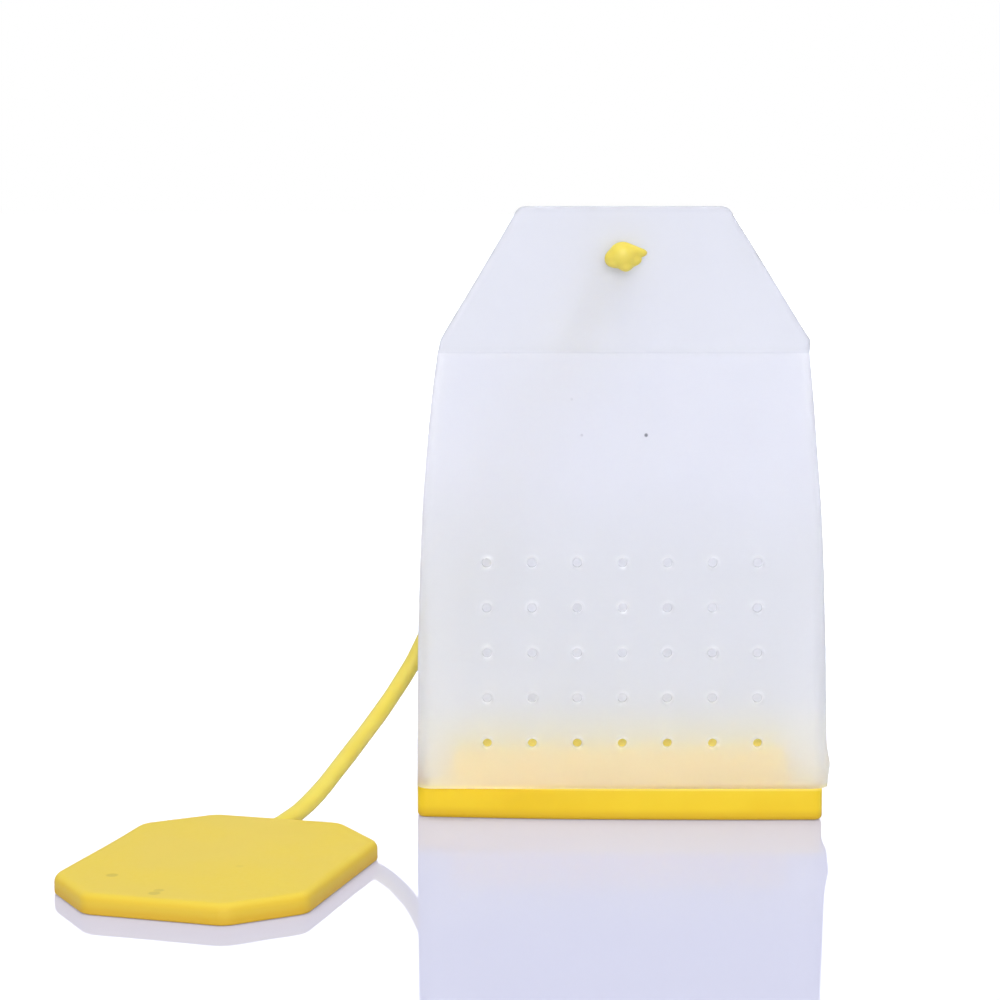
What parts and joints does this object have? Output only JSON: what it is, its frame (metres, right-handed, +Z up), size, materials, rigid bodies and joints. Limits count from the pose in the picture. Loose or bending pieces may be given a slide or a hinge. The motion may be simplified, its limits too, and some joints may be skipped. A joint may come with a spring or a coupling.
{
  "type": "silicone tea infuser",
  "caption": "Soft silicone pouch for loose tea, shaped like a tea bag, with fine steeping holes, a push-in plug, and a cord ending in a flat tag.",
  "frame": {"origin": "on the table under the middle of the pouch", "axes": "+Z up, from the plug to the flap; +X to the right; the front faces -Y, and the tag lies at the front left"},
  "size_m": [0.0797, 0.0584, 0.067],
  "materials": {
    "pouch_silicone": "translucent milky white silicone, satin",
    "plug_silicone": "yellow silicone, satin",
    "cord_silicone": "yellow silicone, satin",
    "tag_silicone": "yellow silicone, matt"
  },
  "bodies": {
    "base": {"stopper": "plug_silicone", "tag": "tag_silicone"},
    "pouch": {"bag": "pouch_silicone", "cord_knob": "plug_silicone", "cord": "cord_silicone"}
  },
  "joints": [
    {"name": "pouch_lift", "type": "slide", "parent": "base", "child": "pouch", "axis": [0, 0, 1], "range_m": [0, 0.02]}
  ]
}
